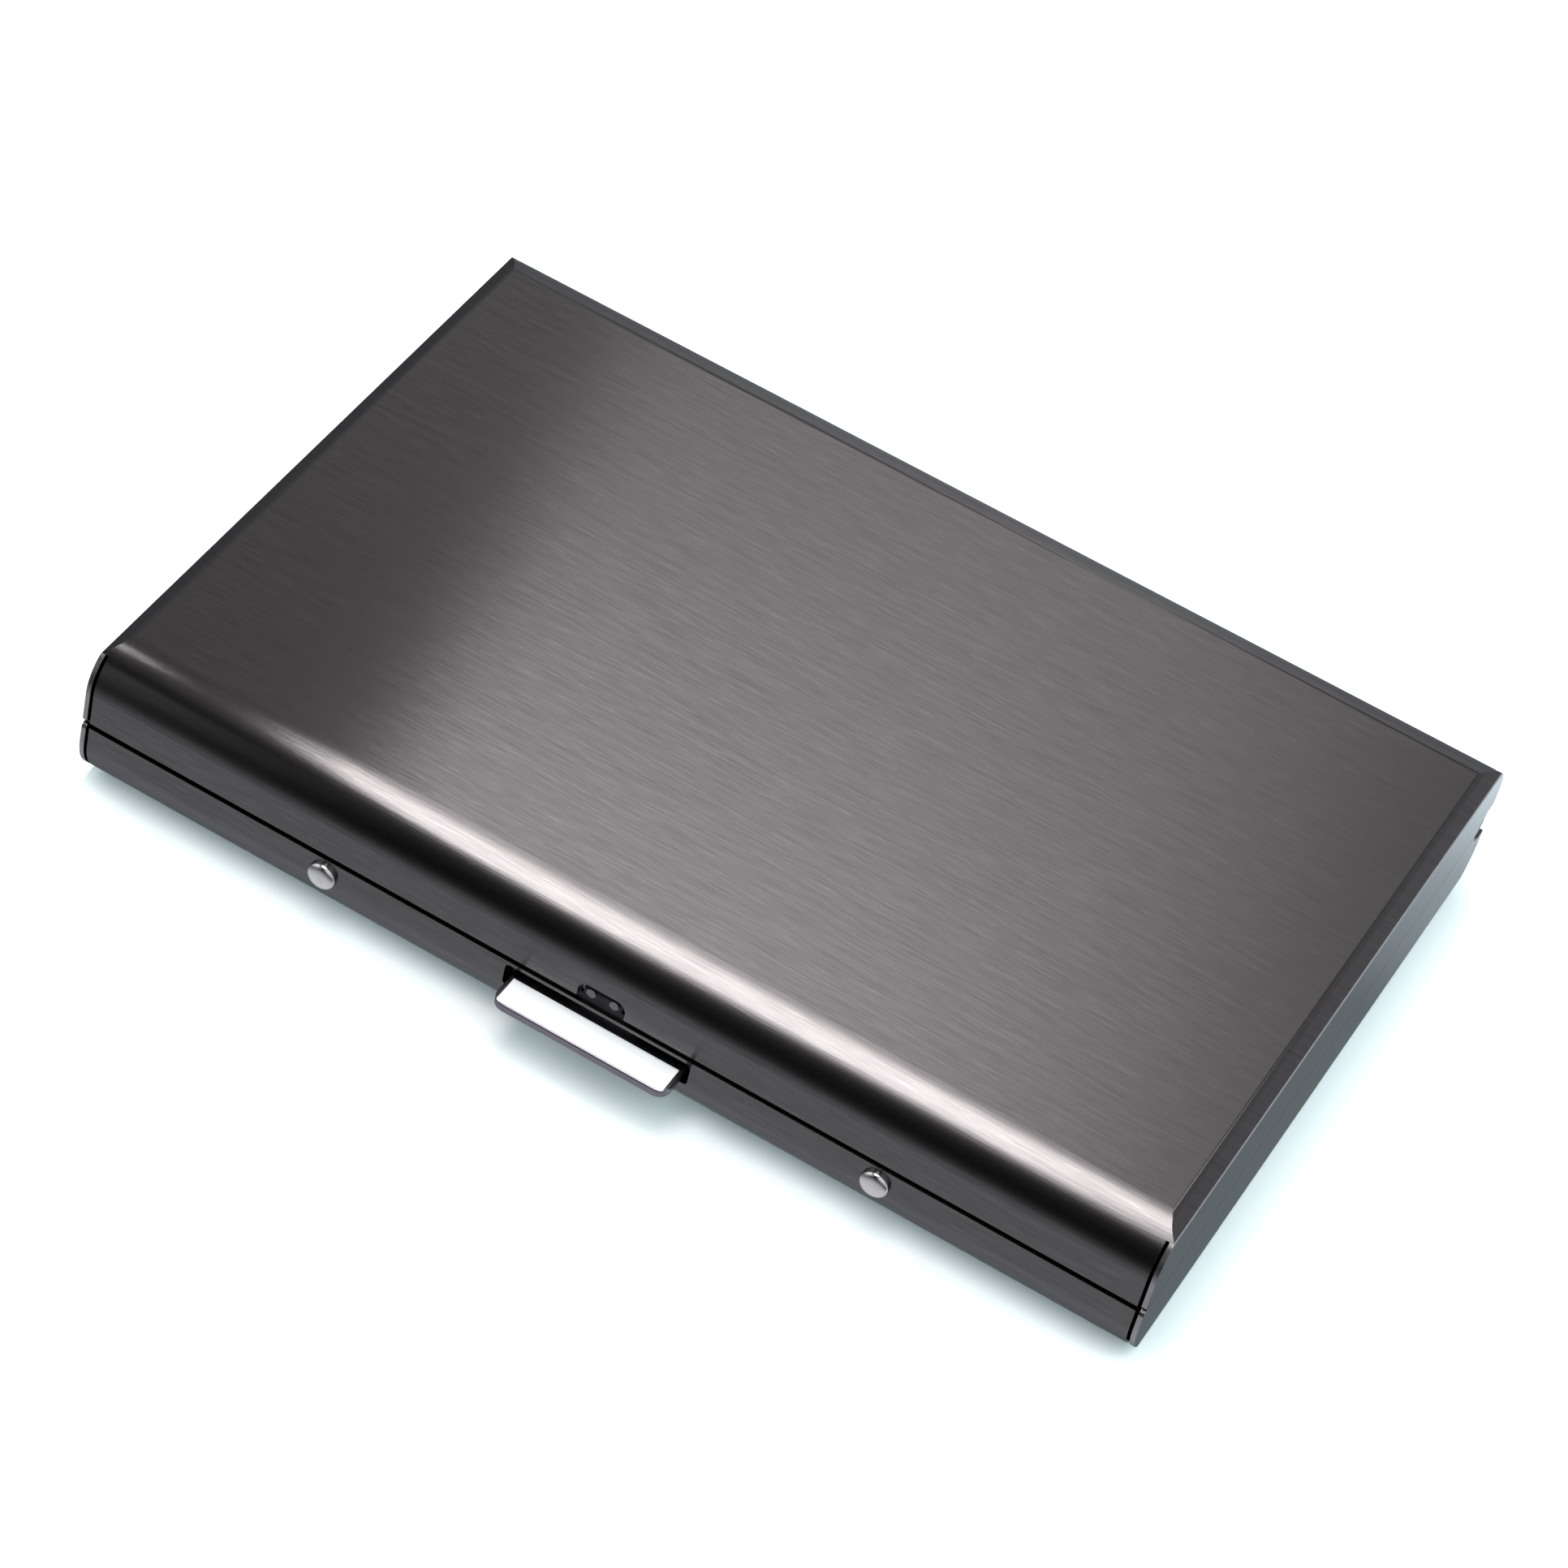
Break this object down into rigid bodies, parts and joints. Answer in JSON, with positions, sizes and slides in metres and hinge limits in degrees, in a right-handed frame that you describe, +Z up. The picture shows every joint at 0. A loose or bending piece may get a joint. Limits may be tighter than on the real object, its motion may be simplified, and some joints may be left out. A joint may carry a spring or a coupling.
{
  "type": "business card case",
  "caption": "Slim hinged card case in brushed dark steel with rolled long edges, folded ends, a chrome thumb latch on the front and a fan of card pockets inside.",
  "frame": {"origin": "centre of the flat underside of the base, without the thumb tab", "axes": "+X along the long edge, -Y towards the thumb latch, +Z up through the lid"},
  "size_m": [0.095, 0.0674, 0.0143],
  "materials": {
    "case_steel": "brushed along the long edge, dark grey coating",
    "latch_chrome": "satin chrome plate",
    "rivet_steel": "polished",
    "inner_steel": "bare spring steel",
    "liner_film": "matte black film",
    "pocket_film": "fine-grained black film"
  },
  "bodies": {
    "base": {"base_shell": "case_steel", "base_hinge_leaf": "inner_steel", "hinge_pin": "inner_steel", "latch_bracket": "inner_steel", "latch_pin": "inner_steel", "latch_spring": "inner_steel", "latch_rivets": "rivet_steel", "base_liner": "liner_film", "sleeve_binding": "liner_film", "card_sleeve_1_lower_panel": "pocket_film", "card_sleeve_1_welded_edge": "pocket_film", "card_sleeve_1_upper_panel": "pocket_film"},
    "lid": {"lid_shell": "case_steel", "lid_hinge_leaf": "inner_steel", "lid_catch": "inner_steel", "lid_liner": "liner_film", "card_sleeve_6_lower_panel": "pocket_film", "card_sleeve_6_welded_edge": "pocket_film", "card_sleeve_6_upper_panel": "pocket_film"},
    "latch": {"latch_lever": "latch_chrome", "latch_hook": "inner_steel", "hook_rivets": "rivet_steel"},
    "pocket_2": {"card_sleeve_2_lower_panel": "pocket_film", "card_sleeve_2_welded_edge": "pocket_film", "card_sleeve_2_upper_panel": "pocket_film"},
    "pocket_3": {"card_sleeve_3_lower_panel": "pocket_film", "card_sleeve_3_welded_edge": "pocket_film", "card_sleeve_3_upper_panel": "pocket_film"},
    "pocket_4": {"card_sleeve_4_lower_panel": "pocket_film", "card_sleeve_4_welded_edge": "pocket_film", "card_sleeve_4_upper_panel": "pocket_film"},
    "pocket_5": {"card_sleeve_5_lower_panel": "pocket_film", "card_sleeve_5_welded_edge": "pocket_film", "card_sleeve_5_upper_panel": "pocket_film"}
  },
  "joints": [
    {"name": "lid_hinge", "type": "hinge", "parent": "base", "child": "lid", "pos_m": [0, 0.031, 0.007], "axis": [-1, 0, 0], "range_deg": [0, 100], "deforming": ["sleeve_binding"]},
    {"name": "latch_pivot", "type": "hinge", "parent": "base", "child": "latch", "pos_m": [0, -0.0303, 0.0048], "axis": [-1, 0, 0], "range_deg": [0, 18], "stiffness_Nm_per_rad": 0.004, "springref_deg": -20.05, "deforming": ["latch_spring"]},
    {"name": "pocket_2_fan", "type": "hinge", "parent": "base", "child": "pocket_2", "pos_m": [0, 0.031, 0.007], "axis": [-1, 0, 0], "range_deg": [0, 17.5]},
    {"name": "pocket_3_fan", "type": "hinge", "parent": "base", "child": "pocket_3", "pos_m": [0, 0.031, 0.007], "axis": [-1, 0, 0], "range_deg": [0, 38.5]},
    {"name": "pocket_4_fan", "type": "hinge", "parent": "base", "child": "pocket_4", "pos_m": [0, 0.031, 0.007], "axis": [-1, 0, 0], "range_deg": [0, 62.5]},
    {"name": "pocket_5_fan", "type": "hinge", "parent": "base", "child": "pocket_5", "pos_m": [0, 0.031, 0.007], "axis": [-1, 0, 0], "range_deg": [0, 83.5]}
  ],
  "couplings": [
    {"joint": "pocket_2_fan", "follows": "lid_hinge", "ratio": 0.17},
    {"joint": "pocket_3_fan", "follows": "lid_hinge", "ratio": 0.38},
    {"joint": "pocket_4_fan", "follows": "lid_hinge", "ratio": 0.62},
    {"joint": "pocket_5_fan", "follows": "lid_hinge", "ratio": 0.83}
  ]
}
